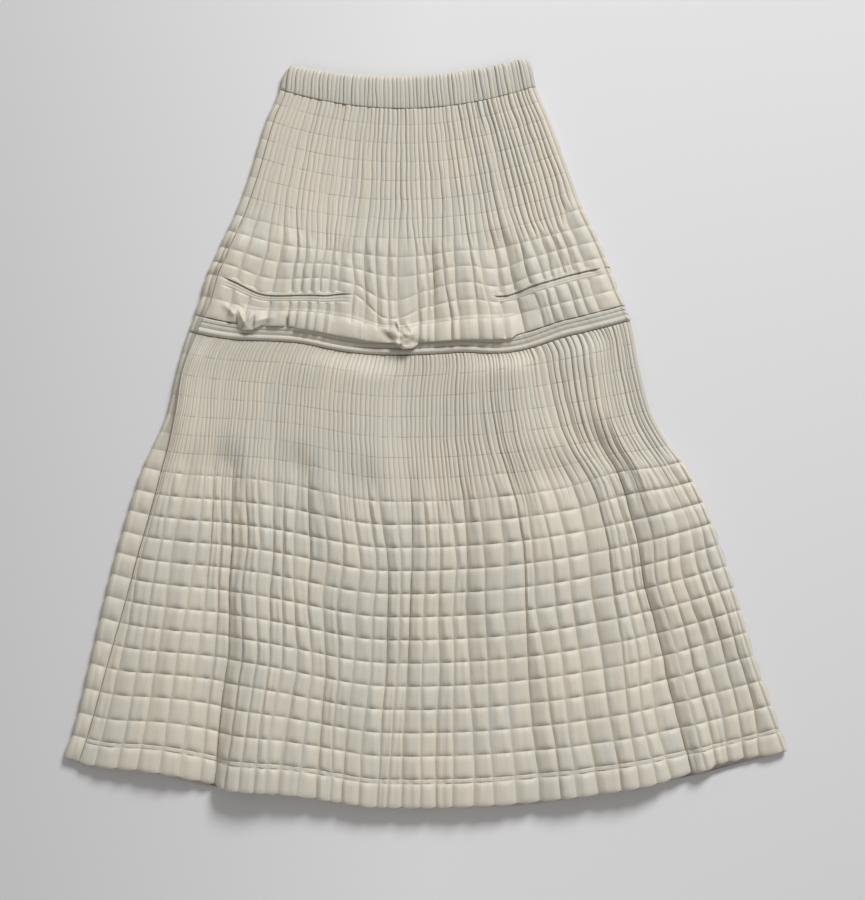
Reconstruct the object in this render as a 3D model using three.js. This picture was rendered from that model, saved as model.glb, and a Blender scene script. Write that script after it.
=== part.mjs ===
// A quilted midi skirt, laid flat on its back with the front upwards.
// Millimetres. +Z is up from the surface that it lies on, +Y runs from the hem to the waist, and +X points to
// the wearer's left. The skirt has a ribbed yoke that lets out into a quilted hip, a stitched edging, and a
// second tier that is ribbed at its top and quilted in squares down to the hem. The side seam at the wearer's
// right has rolled a little onto the front, so a strip of the back shows beside it.
import * as THREE from "three";

// Cloth
const WALL = 2.4; // padded wall at a line of stitching
const SEAM_GAP = 0.3; // between pieces that are sewn together
const PUFF = 3.0; // how far a quilted square stands above its stitching
const RIB = 2.2; // how far a rib stands above the groove beside it
const EDGE_HEIGHT = 8.2; // the two layers at the folded sides
const EDGE_RADIUS = EDGE_HEIGHT / 2;
const FRONT_MIN = 6.2; // the front's stitching never sinks below this, so the layers stay apart

// Stitching. "Down" is the distance from the waist's top edge, measured down the centre front.
const WAIST_SEAM = 37.4;
const YOKE_TOP = WAIST_SEAM + SEAM_GAP / 2;
const YOKE_ROW_RUNS = [
  { rows: 1, depth: 18.6 },
  { rows: 6, depth: 21.6 },
  { rows: 6, depth: 19.3 },
];
const YOKE_ROWS = 13;
const YOKE_END_ROW = 6.5; // the ribs let out here, counted in rows
const BAND_TOP = 301.7;
const BAND_DEPTH = 19.2;
const TIER_TOP = BAND_TOP + BAND_DEPTH;
const SHIRR_ROW = 23.4;
const SHIRR_ROWS = 6;
const SHIRR_END = TIER_TOP + SHIRR_ROW * SHIRR_ROWS;
const SQUARE_ROW = 26.5;
const SQUARE_ROWS = 13;
const HEM_STITCH = SHIRR_END + SQUARE_ROW * SQUARE_ROWS;
const HEM_TWIN = 5; // between the hem's two lines of stitching
const HEM_END = 838.4;
const CORNER = 10; // the round of the waistband's top corners

// The outline, one row for each section from the waist to the hem. left, right: where the sides are, with the
// height on the page of each end and of the middle. seam: from the left side to the side seam on the front.
// loft: how far the front stands clear of the back in the middle.
const SECTIONS = [
  { at: "waist edge", down: 0, left: -159, leftY: 422, right: 117, rightY: 430, midY: 408, seam: 5, loft: 1 },
  { at: "waist top", down: 4, left: -162, leftY: 418, right: 119, rightY: 426, midY: 404, seam: 5, loft: 1 },
  { at: "seam", down: 37.4, left: -167.5, leftY: 392, right: 126, rightY: 396, midY: 370, seam: 6, loft: 1 },
  { at: "yoke top", down: 77, left: -182, leftY: 358, right: 140.5, rightY: 361, midY: 331, seam: 7, loft: 1 },
  { at: "yoke low", down: 143, left: -202, leftY: 293, right: 164, rightY: 298, midY: 265, seam: 8, loft: 2 },
  { at: "yoke end", down: 185, left: -218, leftY: 250, right: 179, rightY: 257, midY: 222, seam: 9, loft: 5 },
  { at: "hip", down: 231, left: -238, leftY: 206, right: 200, rightY: 212, midY: 176, seam: 10, loft: 9 },
  { at: "lap", down: 278, left: -255, leftY: 158, right: 218, rightY: 167, midY: 129, seam: 11, loft: 10 },
  { at: "edging", down: 321, left: -272, leftY: 114, right: 234, rightY: 127, midY: 87, seam: 9, loft: 3 },
  { at: "gathers", down: 365, left: -285, leftY: 70, right: 243, rightY: 78, midY: 43, seam: 6, loft: 2 },
  { at: "tier", down: 414, left: -296, leftY: 22, right: 256, rightY: 25, midY: -6, seam: 9, loft: 3 },
  { at: "flare", down: 459, left: -313, leftY: -17, right: 277, rightY: -13, midY: -51, seam: 17, loft: 5 },
  { at: "squares", down: 484, left: -322, leftY: -37, right: 291, rightY: -31, midY: -76, seam: 20, loft: 6 },
  { at: "thigh", down: 508, left: -330, leftY: -60, right: 303, rightY: -51, midY: -100, seam: 22, loft: 6 },
  { at: "leg", down: 561, left: -345, leftY: -108, right: 325, rightY: -99, midY: -153, seam: 23, loft: 7 },
  { at: "knee", down: 642, left: -365, leftY: -183, right: 351, rightY: -174, midY: -234, seam: 22, loft: 7 },
  { at: "shin", down: 722, left: -383, leftY: -261, right: 374, rightY: -252, midY: -314, seam: 18, loft: 8 },
  { at: "low", down: 806, left: -405, leftY: -348, right: 405, rightY: -340, midY: -398, seam: 16, loft: 11 },
  { at: "hem", down: 838.4, left: -415, leftY: -374, right: 414, rightY: -366, midY: -430, seam: 17, loft: 12 },
];

// Where the upright lines of stitching lie, for some distances down. They are evenly spaced from the top of
// each tier down to "even", and go over to these places below it.
const YOKE_PLACES = [
  {
    down: 206,
    across: [
      -227, -209, -189, -172, -154, -144, -132, -121, -112, -103, -91, -76, -63, -48, -37, -14, -5,
      5, 16, 31, 49, 60, 79, 92, 109, 121, 134, 144, 156, 168, 187,
    ],
  },
  {
    down: 229,
    across: [
      -237, -218, -194, -177, -158, -146, -136, -125, -114, -105, -87, -75, -61, -49, -37, -13, -2,
      6, 18, 31, 52, 62, 83, 97, 113, 128, 140, 154, 164, 178, 198,
    ],
  },
  {
    down: 252,
    across: [
      -244, -224, -204, -183, -160, -149, -138, -127, -116, -106, -87, -74, -60, -47, -37, -13, -1,
      6, 21, 32, 54, 67, 82, 101, 119, 135, 145, 159, 170, 183, 206,
    ],
  },
  {
    down: 282,
    across: [
      -253, -230, -212, -186, -163, -153, -142, -131, -121, -112, -90, -75, -60, -47, -33, -12, -2,
      6, 26, 35, 56, 72, 87, 107, 129, 140, 151, 167, 179, 191, 215,
    ],
  },
];
const TIER_PLACES = [
  {
    down: 325,
    across: [
      -278, -271, -264, -256, -246, -234, -222, -210, -196, -182, -168, -154, -141, -128, -114, -99,
      -83, -67, -51, -35, -19, -3, 11, 25, 38, 51, 63, 75, 87, 100, 113, 126, 141, 156, 171, 186,
      200, 209, 217, 225, 233, 241,
    ],
  },
  {
    down: 494,
    across: [
      -306, -302, -291, -274, -256, -245, -236, -224, -208, -194, -176, -163, -148, -136, -118, -99,
      -83, -65, -53, -33, -15, -1, 14, 29, 45, 62, 85, 105, 116, 132, 150, 174, 194, 205, 214, 225,
      240, 252, 263, 275, 285, 296,
    ],
  },
  {
    down: 561,
    across: [
      -322, -319, -302, -289, -261, -246, -235, -222, -203, -190, -174, -164, -152, -132, -112, -94,
      -75, -56, -43, -29, -17, 0, 16, 35, 47, 67, 89, 112, 122, 144, 162, 185, 209, 221, 232, 241,
      259, 274, 288, 301, 312, 320,
    ],
  },
  {
    down: 614,
    across: [
      -336, -332, -312, -295, -269, -251, -238, -225, -211, -194, -178, -164, -150, -135, -117, -101,
      -78, -59, -42, -28, -16, -1, 16, 33, 48, 70, 91, 117, 128, 151, 170, 193, 218, 231, 243, 254,
      266, 282, 296, 315, 329, 343,
    ],
  },
  {
    down: 693,
    across: [
      -360, -348, -328, -308, -285, -262, -243, -227, -210, -193, -179, -164, -147, -130, -114, -99,
      -83, -63, -45, -32, -20, -3, 18, 34, 53, 74, 97, 121, 141, 161, 182, 207, 231, 248, 263, 276,
      292, 307, 324, 343, 358, 368,
    ],
  },
  {
    down: 773,
    across: [
      -382, -367, -342, -321, -296, -274, -253, -237, -221, -205, -190, -178, -160, -138, -120, -106,
      -90, -72, -50, -38, -24, -3, 14, 35, 59, 78, 103, 129, 153, 170, 192, 220, 240, 255, 271, 297,
      314, 330, 347, 366, 385, 398,
    ],
  },
  {
    down: 838,
    across: [
      -397, -379, -353, -330, -304, -282, -258, -240, -229, -213, -195, -182, -168, -146, -124, -107,
      -95, -75, -54, -43, -26, -4, 14, 33, 57, 81, 108, 134, 158, 176, 201, 228, 248, 269, 285, 310,
      325, 337, 351, 369, 386, 415,
    ],
  },
];
// ribs: how many each column has, where the cloth is gathered.
const YOKE_LINES = { columns: 30, even: 150, ribs: 2, places: YOKE_PLACES };
const TIER_LINES = { columns: 41, even: 300, ribs: 3, places: TIER_PLACES };

// The folds, each along a line of stitching. rise: how far the cloth rises from it to the next line.
// from, to: where the fold grows to its full size, and end: where it has died away.
const FOLDS = [
  { lines: YOKE_LINES, at: 9, rise: 4, from: 185, to: 215, end: 330 },
  { lines: YOKE_LINES, at: 17, rise: 5, from: 185, to: 215, end: 330 },
  { lines: YOKE_LINES, at: 23, rise: 6, from: 180, to: 210, end: 330 },
  { lines: TIER_LINES, at: 6, rise: 4.5, from: 420, to: 500, end: 700 },
  { lines: TIER_LINES, at: 7, rise: 6, from: 430, to: 520, end: 1000 },
  { lines: TIER_LINES, at: 13, rise: 4.5, from: 430, to: 480, end: 640 },
  { lines: TIER_LINES, at: 18, rise: 5, from: 430, to: 500, end: 760 },
  { lines: TIER_LINES, at: 20, rise: 5, from: 430, to: 500, end: 760 },
  { lines: TIER_LINES, at: 24, rise: 5, from: 430, to: 520, end: 740 },
  { lines: TIER_LINES, at: 28, rise: 5, from: 430, to: 500, end: 660 },
  { lines: TIER_LINES, at: 31, rise: 6, from: 420, to: 480, end: 760 },
  { lines: TIER_LINES, at: 35, rise: 6.5, from: 400, to: 470, end: 1000 },
  { lines: TIER_LINES, at: 39, rise: 4, from: 640, to: 700, end: 1000 },
];
const PLEAT_RUN = 3.2; // how many columns a fold takes to fall to its line

// Where the front of the lower tier swells up. column, half: the middle and half width, in columns.
const SWELLS = [
  { at: "right leg", column: 9.5, half: 4.5, rise: 7, from: 520, to: 800 },
  { at: "left leg", column: 34, half: 3.5, rise: 3.5, from: 560, to: 760 },
];

// Where the rows wander from a plain arc. share: how far across. half: half width, as a share of the width.
// lift: up the page. reach: how far the bend fades up and down.
const BENDS = [
  { at: "right pocket", share: 0.17, half: 0.13, down: 245, reach: 60, lift: -5 },
  { at: "right hip", share: 0.26, half: 0.17, down: 255, reach: 62, lift: 8 },
  { at: "hip middle", share: 0.47, half: 0.12, down: 245, reach: 60, lift: -7 },
  { at: "hip fold", share: 0.45, half: 0.09, down: 258, reach: 34, lift: -10 },
  { at: "hip crest", share: 0.63, half: 0.08, down: 240, reach: 60, lift: 4 },
  { at: "left pocket", share: 0.74, half: 0.08, down: 245, reach: 55, lift: -6 },
  { at: "left side", share: 0.91, half: 0.12, down: 245, reach: 60, lift: 3 },
  { at: "right pocket's outer end", share: 0.03, half: 0.12, down: 263, reach: 28, lift: 8 },
  { at: "right pocket's inner end", share: 0.36, half: 0.08, down: 263, reach: 20, lift: 8 },
  { at: "edging", share: 0.27, half: 0.22, down: 321, reach: 60, lift: 8 },
  { at: "edging dip", share: 0.35, half: 0.12, down: 312, reach: 32, lift: -4 },
  { at: "edging turn", share: 0.735, half: 0.13, down: 312, reach: 32, lift: -8 },
  { at: "left flare", share: 0.88, half: 0.1, down: 490, reach: 60, lift: 6 },
  { at: "right leg", share: 0.23, half: 0.22, down: 480, reach: 190, lift: 13 },
  { at: "right shin", share: 0.23, half: 0.22, down: 700, reach: 200, lift: 14 },
  { at: "hem right", share: 0.13, half: 0.1, down: 838, reach: 190, lift: 7 },
  { at: "hem swell", share: 0.32, half: 0.11, down: 838, reach: 120, lift: 5 },
];

// The pockets' welts, each below the slit that it edges. from, to: columns of the yoke. down: the slit.
const POCKETS = [
  { name: "pocket_welt_right", from: 0.5, to: 10, down: 263 },
  { name: "pocket_welt_left", from: 21.5, to: 29.5, down: 255.2 },
];
const WELT_DEPTH = 7;
const WELT_THICK = 1.2;
const WELT_CLEAR = 1.4;

// The yoke's and the band's profiles, from their top edges down. out: above the wall.
const WAISTBAND_PROFILE = [
  { down: 0, out: -2.2 },
  { down: 2.5, out: 0.4 },
  { down: 8, out: 1.6 },
  { down: 29, out: 1.4 },
  { down: WAIST_SEAM - SEAM_GAP, out: 0 },
];
const BAND_PROFILE = [
  { down: 0, out: 0.4 },
  { down: 3.5, out: 2.2 },
  { down: 8.5, out: 2 },
  { down: 10.5, out: 0.9 },
  { down: 12.5, out: 2.8 },
  { down: 16, out: 2.8 },
  { down: 18.6, out: 0.6 },
];

const clamp01 = (x) => Math.min(1, Math.max(0, x));
const smooth = (x) => clamp01(x) ** 2 * (3 - 2 * clamp01(x));
const mix = (a, b, t) => a + (b - a) * t;
const bump = (x) => (Math.abs(x) < 1 ? (1 - x * x) ** 2 : 0);

// One column of SECTIONS at a distance down, joined by a smooth curve that doesn't overshoot.
function section(column, down) {
  const last = SECTIONS.length - 1;
  let i = 0;
  while (i < last - 1 && SECTIONS[i + 1].down < down) i++;
  const slope = (k) => {
    const [a, b] = [SECTIONS[k], SECTIONS[k + 1]];
    return (b[column] - a[column]) / (b.down - a.down);
  };
  const tangent = (k) => {
    if (k === 0) return slope(0);
    if (k === last) return slope(last - 1);
    const [p, q] = [slope(k - 1), slope(k)];
    return p * q <= 0 ? 0 : (2 * p * q) / (p + q);
  };
  const [a, b] = [SECTIONS[i], SECTIONS[i + 1]];
  const span = b.down - a.down;
  const t = clamp01((down - a.down) / span);
  return (
    a[column] * (1 + 2 * t) * (1 - t) ** 2 +
    b[column] * t * t * (3 - 2 * t) +
    span * (tangent(i) * t * (1 - t) ** 2 - tangent(i + 1) * t * t * (1 - t))
  );
}

// The height on the page of a point at x.
function pageY(x, down) {
  const [left, right] = [section("left", down), section("right", down)];
  const share = (x - left) / (right - left);
  const ends = mix(section("leftY", down), section("rightY", down), share);
  const middle = (section("leftY", down) + section("rightY", down)) / 2;
  const sag = (section("midY", down) - middle) * (1 - (2 * share - 1) ** 2);
  const bends = BENDS.reduce(
    (sum, b) => sum + b.lift * bump((share - b.share) / b.half) * bump((down - b.down) / b.reach),
    0,
  );
  const corner = clamp01(Math.max(left + CORNER - x, x - right + CORNER) / CORNER);
  const rounded = CORNER * (1 - Math.sqrt(1 - corner ** 2)) * clamp01(1 - down / (2.5 * CORNER)) ** 2;
  return ends + sag + bends - rounded;
}

// Where a line of stitching lies, as a share of the front's width.
function lineShare(lines, line, down) {
  const shareIn = ({ across }) => (across[line] - across[0]) / (across[lines.columns] - across[0]);
  const even = { down: lines.even, share: line / lines.columns };
  const known = [even, ...lines.places.map((place) => ({ down: place.down, share: shareIn(place) }))];
  if (down <= even.down) return even.share;
  const next = known.findIndex((place) => place.down >= down);
  if (next < 0) return known.at(-1).share;
  const [a, b] = [known[next - 1], known[next]];
  return mix(a.share, b.share, (down - a.down) / (b.down - a.down));
}

// How far across the front a place is, from 0 at the side seam to 1 at the fold on the right.
function columnShare(lines, column, down) {
  const line = Math.min(Math.floor(column), lines.columns - 1);
  return mix(lineShare(lines, line, down), lineShare(lines, line + 1, down), column - line);
}

const grown = (f, down) => smooth((down - f.from) / (f.to - f.from));

// A fold falls gently to its own line of stitching and rises again by the next one.
const pleat = (x) => (x < 0 ? clamp01(1 + x / PLEAT_RUN) ** 1.4 : clamp01(1 - x));

// The height of the front's outer face at its stitching.
function frontZ(lines, column, down) {
  const crown = 1 - Math.abs((2 * column) / lines.columns - 1) ** 5;
  const hem = smooth((BAND_TOP - down) / 26);
  let z = EDGE_HEIGHT + section("loft", down) * crown;
  for (const f of FOLDS.filter((fold) => fold.lines === lines)) {
    const kept = smooth((f.end - down) / 110) * (lines === YOKE_LINES ? hem : 1);
    z -= f.rise * grown(f, down) * kept * pleat(column - f.at) * crown;
  }
  if (lines === TIER_LINES) {
    for (const f of SWELLS) z += f.rise * grown(f, down) * bump((column - f.column) / f.half);
  }
  return Math.max(z, FRONT_MIN);
}

// How far the quilting stands out. row counts lines of stitching. ribbed: 1 in the ribs, 0 in the squares.
function relief(lines, column, row, ribbed) {
  const ribs = RIB * Math.sin(lines.ribs * Math.PI * column) ** 2;
  const square = PUFF * Math.abs(Math.sin(Math.PI * column)) * Math.abs(Math.sin(Math.PI * row));
  return mix(square, ribs, ribbed);
}

// A point on the front, its outer face's stitching moved out by "out". It remembers its place, for the
// triangles.
function frontPoint(lines, column, down, out) {
  const left = section("left", down) + section("seam", down) + SEAM_GAP / 2;
  const right = section("right", down) - EDGE_RADIUS;
  const x = mix(left, right, columnShare(lines, column, down));
  return { x, y: pageY(x, down), z: frontZ(lines, column, down) + out, across: column, down };
}

// The rounded side on the right, from the top face to the seam with the back. reach: the face's own radius.
function rightRoll(from, reach, columns) {
  const middle = EDGE_RADIUS + SEAM_GAP / 2;
  return [30, 60, 90].map((degrees) => {
    const angle = THREE.MathUtils.degToRad(degrees);
    const x = from.x + reach * Math.sin(angle);
    const z = middle + (from.z - middle) * Math.cos(angle);
    return { x, y: from.y, z, across: columns + degrees / 90, down: from.down };
  });
}

// A row across the front. out: a function of the column. steps: how many parts each column has.
function frontRow(lines, down, steps, out, inset = 0) {
  const row = [];
  for (let i = 0; i <= lines.columns * steps; i++) {
    row.push(frontPoint(lines, i / steps, down, out(i / steps) - inset));
  }
  return [...row, ...rightRoll(row.at(-1), EDGE_RADIUS - inset, lines.columns)];
}

// A row round the back, from the seam on the right, under, and round the left side to the seam on the front.
// inset: 0 on the outer face, WALL on the inner one. puff: the quilting of the strip that shows.
function backRow(down, steps, inset, puff) {
  const [left, right] = [section("left", down), section("right", down)];
  const reach = EDGE_RADIUS - inset;
  const row = [];
  const add = (x, z, across) => row.push({ x, y: pageY(x, down), z, across, down });
  for (const degrees of [90, 60, 30, 0]) {
    const angle = THREE.MathUtils.degToRad(degrees);
    const fall = (EDGE_RADIUS - SEAM_GAP / 2 - inset) * (1 - Math.cos(angle));
    add(right - EDGE_RADIUS + reach * Math.sin(angle), inset + fall, -degrees / 90);
  }
  const [from, to] = [right - EDGE_RADIUS, left + EDGE_RADIUS];
  for (let i = 1; i < steps; i++) add(mix(from, to, i / steps), inset, i / steps);
  for (let i = 0; i <= 6; i++) {
    const angle = (Math.PI * i) / 6;
    add(to - reach * Math.sin(angle), EDGE_RADIUS - reach * Math.cos(angle), 1 + i / 6);
  }
  const seam = left + section("seam", down) - SEAM_GAP / 2;
  for (const t of [0.5, 1]) {
    add(mix(to, seam, t), EDGE_HEIGHT - inset + (t < 1 ? puff : 0), 2 + t);
  }
  return row;
}

// Triangles between two lines of points, each advancing to whichever of its next points comes first. Sides
// that lie against each other are cut the same way, with one of them turned over.
function strip(faces, a, b, key, isTurned = false) {
  const add = (p, q, r) => faces.push(isTurned ? [p, r, q] : [p, q, r]);
  let [i, j] = [0, 0];
  while (i < a.length - 1 || j < b.length - 1) {
    const takeA = j === b.length - 1 || (i < a.length - 1 && a[i + 1][key] <= b[j + 1][key]);
    if (takeA) add(a[i], b[j], a[++i]);
    else add(a[i], b[j], b[++j]);
  }
}

// A flat face bounded by rows of which the first and last are the only ones with points inside the flat.
function flat(faces, rows) {
  const inside = (row) => row.filter((p) => p.across > 0 && p.across < 1);
  const edge = (across) => rows.map((row) => row.find((p) => p.across === across));
  const rim = [...edge(0), ...inside(rows.at(-1)), ...edge(1).reverse(), ...inside(rows[0]).reverse()];
  const flatRim = rim.map((p) => new THREE.Vector2(p.x, p.y));
  const turn = THREE.ShapeUtils.isClockWise(flatRim) ? -1 : 1;
  for (const [a, b, c] of THREE.ShapeUtils.triangulateShape(flatRim, [])) {
    faces.push(turn > 0 ? [rim[a], rim[b], rim[c]] : [rim[a], rim[c], rim[b]]);
  }
}

// The faces between the rows of one side of a wall. Where a row has points at 0 and 1 with a flat between
// them, the flat is closed in one go.
function skin(faces, rows, isFlat) {
  const parts = isFlat ? [(p) => p.across <= 0, (p) => p.across >= 1] : [() => true];
  for (let i = 0; i < rows.length - 1; i++) {
    for (const part of parts) strip(faces, rows[i].filter(part), rows[i + 1].filter(part), "across");
  }
  if (isFlat) flat(faces, rows);
}

// A closed wall from the rows of its outer and inner faces, both from the waist's side to the hem's.
function wall(name, outer, inner, material, isFlat = false) {
  const faces = [];
  skin(faces, outer, isFlat);
  skin(faces, [...inner].reverse(), isFlat);
  strip(faces, outer.at(-1), inner.at(-1), "across");
  strip(faces, outer[0], inner[0], "across", true);
  const side = (rows, end) => rows.map((row) => row.at(end));
  strip(faces, side(outer, 0), side(inner, 0), "down");
  strip(faces, side(outer, -1), side(inner, -1), "down", true);
  const points = [...new Set(faces.flat())];
  const number = new Map(points.map((point, i) => [point, i]));
  const coordinates = points.flatMap((p) => [p.x, p.y, p.z]);
  const geometry = new THREE.BufferGeometry();
  geometry.setAttribute("position", new THREE.Float32BufferAttribute(coordinates, 3));
  geometry.setIndex(faces.flat().map((point) => number.get(point)));
  geometry.computeVertexNormals();
  const mesh = new THREE.Mesh(geometry, material);
  mesh.name = name;
  return mesh;
}

const plain = () => 0;
const range = (count) => Array.from({ length: count }, (_, i) => i);

// Materials
const quilt = new THREE.MeshStandardMaterial({ color: 0xcfc8b8, roughness: 0.55, metalness: 0 });
const trim = new THREE.MeshStandardMaterial({ color: 0xcbc4b3, roughness: 0.5, metalness: 0 });

// Each pair of pieces, front and back, has its rows at the same distances down, so that their seams match.
const WAISTBAND_ROWS = {
  outer: WAISTBAND_PROFILE.map((row) => row.down),
  inner: [0, WAIST_SEAM - SEAM_GAP],
};

function waistbandFront() {
  const outer = WAISTBAND_PROFILE.map(({ down, out }, i) => {
    const ribs = i === 0 ? 0.4 : 1;
    return frontRow(YOKE_LINES, down, 4, (c) => out + ribs * relief(YOKE_LINES, c, 0, 1));
  });
  const inner = WAISTBAND_ROWS.inner.map((down) => frontRow(YOKE_LINES, down, 1 / 2, plain, WALL));
  return wall("waistband_front", outer, inner, trim);
}

// The yoke's rows, counted in lines of stitching: sparse where it is ribbed, and at each square's seam and
// middle below that.
const YOKE_RIB_ROWS = [0, 2, 4, 6];
const YOKE_SQUARE_ROWS = [...range(13).map((i) => YOKE_END_ROW + i / 2), YOKE_ROWS];
const YOKE_INNER_ROWS = [0, 2, 4, 6, 7, 8, 9, 10, 11, 12, YOKE_ROWS];

// The distance down of a line of stitching, and the line that lies at a distance down.
function yokeDown(row) {
  let [down, left] = [YOKE_TOP, row];
  for (const run of YOKE_ROW_RUNS) {
    down += run.depth * Math.min(left, run.rows);
    left = Math.max(0, left - run.rows);
  }
  return down;
}

function yokeRow(down) {
  let [row, left] = [0, down - YOKE_TOP];
  for (const run of YOKE_ROW_RUNS) {
    row += Math.min(left / run.depth, run.rows);
    left = Math.max(0, left - run.rows * run.depth);
  }
  return row;
}

const yokeRibbed = (row) => 1 - smooth((row - YOKE_END_ROW + 0.5) / 2);

function upperFront() {
  const rowAt = (row, steps) =>
    frontRow(YOKE_LINES, yokeDown(row), steps, (c) => relief(YOKE_LINES, c, row, yokeRibbed(row)));
  const outer = [
    ...YOKE_RIB_ROWS.map((row) => rowAt(row, 4)),
    ...YOKE_SQUARE_ROWS.map((row) => rowAt(row, 2)),
  ];
  const inner = YOKE_INNER_ROWS.map((row) => frontRow(YOKE_LINES, yokeDown(row), 1, plain, WALL));
  return wall("upper_front", outer, inner, quilt);
}

function pocketWelt({ name, from, to, down }) {
  const columns = range((to - from) * 2 + 1).map((i) => from + i / 2);
  const lieOn = (share, out) =>
    columns.map((c) => {
      const at = down + share * WELT_DEPTH;
      const upSlope = 1 - Math.abs(2 * (yokeRow(at) % 1) - 1);
      const puff = relief(YOKE_LINES, c, 0.5, 0) * upSlope;
      return frontPoint(YOKE_LINES, c, at, puff + WELT_CLEAR + out);
    });
  const outer = [0.05, 0.5, 1].map((share) => lieOn(share, WELT_THICK));
  const inner = [0.05, 0.5, 1].map((share) => lieOn(share, 0));
  return wall(name, outer, inner, trim);
}

const BAND_ROWS = {
  outer: BAND_PROFILE.map((row) => BAND_TOP + SEAM_GAP / 2 + row.down),
  inner: [BAND_PROFILE[0], BAND_PROFILE.at(-1)].map((row) => BAND_TOP + SEAM_GAP / 2 + row.down),
};

function bandFront() {
  const outer = BAND_ROWS.outer.map((down, i) => frontRow(TIER_LINES, down, 1, () => BAND_PROFILE[i].out));
  const inner = BAND_ROWS.inner.map((down) => frontRow(TIER_LINES, down, 1, plain, WALL));
  return wall("tier_band_front", outer, inner, trim);
}

const TIER_START = TIER_TOP + SEAM_GAP / 2;
const TIER_RIB_DOWNS = [TIER_START, ...[2.2, 4.4].map((row) => TIER_TOP + SHIRR_ROW * row)];
const TIER_SQUARE_ROWS = range(SQUARE_ROWS * 2).map((i) => (i + 0.5) / 2);
const HEM_ROWS = [
  { down: HEM_STITCH, puff: 0 },
  { down: HEM_STITCH + HEM_TWIN / 2, puff: 0.3 },
  { down: HEM_STITCH + HEM_TWIN, puff: 0 },
  { down: (HEM_STITCH + HEM_TWIN + HEM_END) / 2, puff: 1 },
  { down: HEM_END, puff: 0.2 },
];
const tierDown = (row) => SHIRR_END + row * SQUARE_ROW;
const TIER_ROWS = {
  outer: [...TIER_RIB_DOWNS, ...TIER_SQUARE_ROWS.map(tierDown), ...HEM_ROWS.map((row) => row.down)],
  inner: [
    ...TIER_RIB_DOWNS,
    ...range(SQUARE_ROWS).map(tierDown),
    HEM_STITCH,
    HEM_END,
  ],
};

function lowerFront() {
  const squares = (row) => {
    const ribbed = 1 - smooth((row + 0.3) / 1.6);
    return frontRow(TIER_LINES, tierDown(row), 2, (c) => relief(TIER_LINES, c, row, ribbed));
  };
  const outer = [
    ...TIER_RIB_DOWNS.map((down) => frontRow(TIER_LINES, down, 6, (c) => relief(TIER_LINES, c, 0, 1))),
    ...TIER_SQUARE_ROWS.map(squares),
    ...HEM_ROWS.map(({ down, puff }) => {
      return frontRow(TIER_LINES, down, 2, (c) => puff * relief(TIER_LINES, c, 0.5, 0));
    }),
  ];
  const inner = TIER_ROWS.inner.map((down) => frontRow(TIER_LINES, down, 1, plain, WALL));
  return wall("lower_front", outer, inner, quilt);
}

// A back piece rests flat on its outer face. Its first and last rows follow the curve of its edges, and the
// rows between only shape the strip that has rolled onto the front.
function backPiece(name, rows, steps, puffAt, material) {
  const face = (downs, inset) =>
    downs.map((down, i) => {
      const isEdge = i === 0 || i === downs.length - 1;
      return backRow(down, isEdge ? steps : 1, inset, inset ? 0 : puffAt(down));
    });
  return wall(name, face(rows.outer, 0), face(rows.inner, WALL), material, true);
}

function backPieces() {
  const puffy = (row) => PUFF * Math.abs(Math.sin(Math.PI * row));
  const yokePuff = (down) => (yokeRow(down) > YOKE_END_ROW ? puffy(yokeRow(down)) : 0);
  const inSquares = (down) => down > SHIRR_END && down < HEM_STITCH;
  const tierPuff = (down) => (inSquares(down) ? puffy((down - SHIRR_END) / SQUARE_ROW) : 0);
  const yokeRows = {
    outer: [...YOKE_RIB_ROWS, ...YOKE_SQUARE_ROWS].map(yokeDown),
    inner: YOKE_INNER_ROWS.map(yokeDown),
  };
  return [
    backPiece("waistband_back", WAISTBAND_ROWS, 14, plain, trim),
    backPiece("upper_back", yokeRows, 18, yokePuff, quilt),
    backPiece("tier_band_back", BAND_ROWS, 18, plain, trim),
    backPiece("lower_back", TIER_ROWS, 26, tierPuff, quilt),
  ];
}

const skirt = new THREE.Group();
skirt.name = "quilted_midi_skirt";
skirt.add(waistbandFront(), upperFront(), ...POCKETS.map(pocketWelt));
skirt.add(bandFront(), lowerFront(), ...backPieces());

// The origin is the middle of the skirt's box, on the surface that it lies on.
const box = new THREE.Box3().setFromObject(skirt);
skirt.position.set(-(box.min.x + box.max.x) / 2, -(box.min.y + box.max.y) / 2, -box.min.z);

export default skirt;
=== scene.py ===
import bpy
import numpy as np
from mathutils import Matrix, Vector


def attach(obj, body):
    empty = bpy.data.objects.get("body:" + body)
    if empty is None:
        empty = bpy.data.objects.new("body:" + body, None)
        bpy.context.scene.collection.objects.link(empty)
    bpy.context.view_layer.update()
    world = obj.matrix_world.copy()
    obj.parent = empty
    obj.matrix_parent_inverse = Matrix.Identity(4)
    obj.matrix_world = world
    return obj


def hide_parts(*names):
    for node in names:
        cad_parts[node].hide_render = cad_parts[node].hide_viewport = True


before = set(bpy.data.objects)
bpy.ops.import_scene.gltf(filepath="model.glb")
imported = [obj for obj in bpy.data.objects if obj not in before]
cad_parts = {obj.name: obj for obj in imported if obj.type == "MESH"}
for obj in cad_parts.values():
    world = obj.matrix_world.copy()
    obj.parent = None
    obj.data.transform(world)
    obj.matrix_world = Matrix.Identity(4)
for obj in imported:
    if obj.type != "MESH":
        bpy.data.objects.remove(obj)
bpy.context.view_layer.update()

# ---------------------------------------------------------------- waistband, front
# A tube of plain woven nylon over wide elastic, sewn to the top of the yoke. The elastic gathers it into
# close upright ribs, and its top edge turns over softly. Sizes are in millimetres, made metres by MM.

MM = 0.001
WALL = 1.6  # cloth, wadding and lining, squeezed at a line of stitching
SEAM_GAP = 0.3
EDGE_HEIGHT = 8.2  # the two layers at the folded sides
EDGE_RADIUS = EDGE_HEIGHT / 2
ROLL_ANGLES = np.radians([15, 30, 45, 60, 75, 90])

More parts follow.
